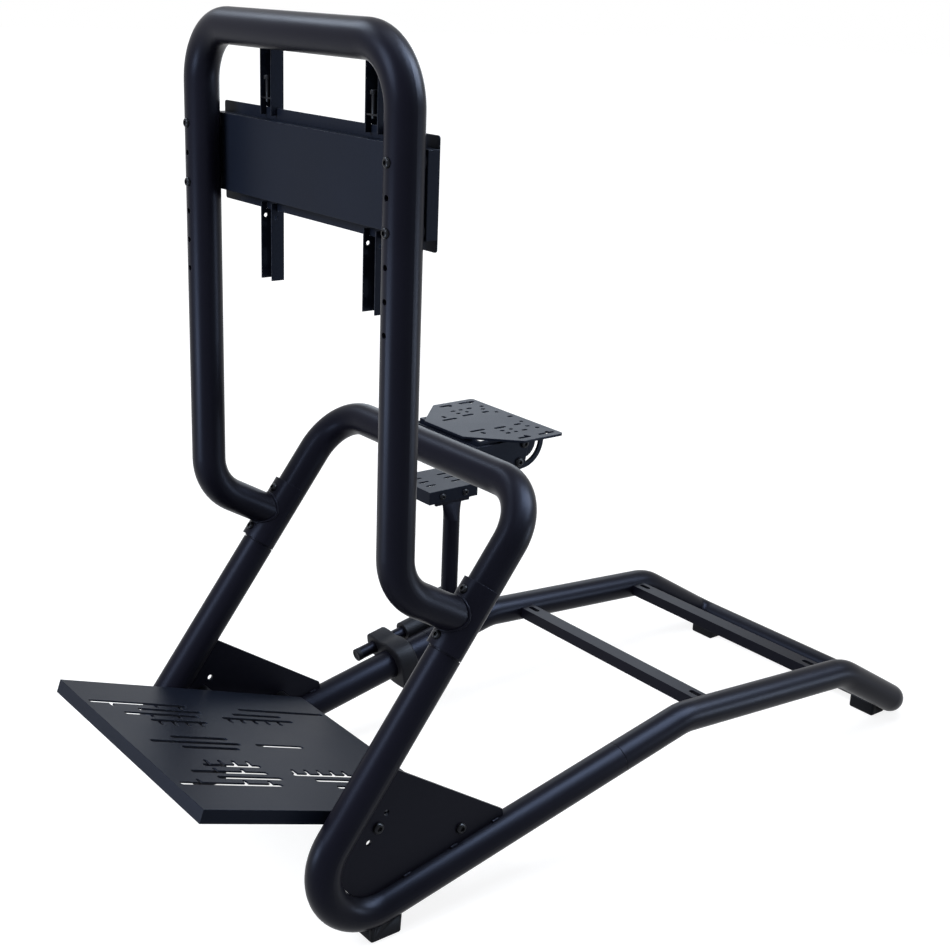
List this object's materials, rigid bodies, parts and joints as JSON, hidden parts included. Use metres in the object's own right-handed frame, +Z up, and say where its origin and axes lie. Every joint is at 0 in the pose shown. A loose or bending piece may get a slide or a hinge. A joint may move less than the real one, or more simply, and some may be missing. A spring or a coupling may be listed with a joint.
{
  "type": "sim racing rig",
  "caption": "Open bent-tube driving rig for racing games with a slotted pedal plate, tilting wheel deck, shifter post, seat rails and a screen stand with hook-on bars.",
  "frame": {"origin": "on the floor under the centre of the whole rig's bounding box", "axes": "+X is the driver's left, +Y runs from the pedals to the seat, +Z is up"},
  "size_m": [0.6948, 1.4624, 1.2367],
  "materials": {
    "frame_paint": "satin powder coat",
    "plate_paint": "satin powder coat",
    "bolt_steel": "black oxide",
    "foot_rubber": "matte",
    "clamp_plastic": "matte"
  },
  "bodies": {
    "frame": {"steering_hoop": "frame_paint", "left_side_tube": "frame_paint", "right_side_tube": "frame_paint", "rear_seat_tube": "frame_paint", "front_left_foot": "foot_rubber", "front_right_foot": "foot_rubber", "rear_left_foot": "foot_rubber", "rear_right_foot": "foot_rubber", "pedal_plate": "plate_paint", "left_gusset": "frame_paint", "right_gusset": "frame_paint", "left_front_spacer": "bolt_steel", "left_rear_spacer": "bolt_steel", "right_front_spacer": "bolt_steel", "right_rear_spacer": "bolt_steel", "front_seat_rail": "frame_paint", "rear_seat_rail": "frame_paint", "screen_stand": "frame_paint", "left_saddle": "frame_paint", "right_saddle": "frame_paint", "screen_crossmember": "plate_paint", "screen_rail": "plate_paint", "deck_bracket": "plate_paint", "left_pivot_bolt": "bolt_steel", "left_lock_bolt": "bolt_steel", "right_pivot_bolt": "bolt_steel", "right_lock_bolt": "bolt_steel"},
    "deck": {"wheel_deck": "plate_paint"},
    "left_bar": {"left_screen_bar": "plate_paint"},
    "right_bar": {"right_screen_bar": "plate_paint"},
    "shifter": {"shifter_clamp": "clamp_plastic", "shifter_rod": "frame_paint", "shifter_elbow": "clamp_plastic", "shifter_post": "frame_paint", "shifter_plate": "plate_paint"}
  },
  "joints": [
    {"name": "deck_tilt", "type": "hinge", "parent": "frame", "child": "deck", "pos_m": [0.06515, -0.0961, 0.6185], "axis": [1, 0, 0], "range_deg": [-90, 0]},
    {"name": "left_bar_slide", "type": "slide", "parent": "frame", "child": "left_bar", "axis": [1, 0, 0], "range_m": [-0.1, 0.115]},
    {"name": "right_bar_slide", "type": "slide", "parent": "frame", "child": "right_bar", "axis": [1, 0, 0], "range_m": [-0.115, 0.1]},
    {"name": "shifter_slide", "type": "slide", "parent": "frame", "child": "shifter", "axis": [0, 0.9789, 0.2045], "range_m": [-0.12, 0.03]}
  ]
}
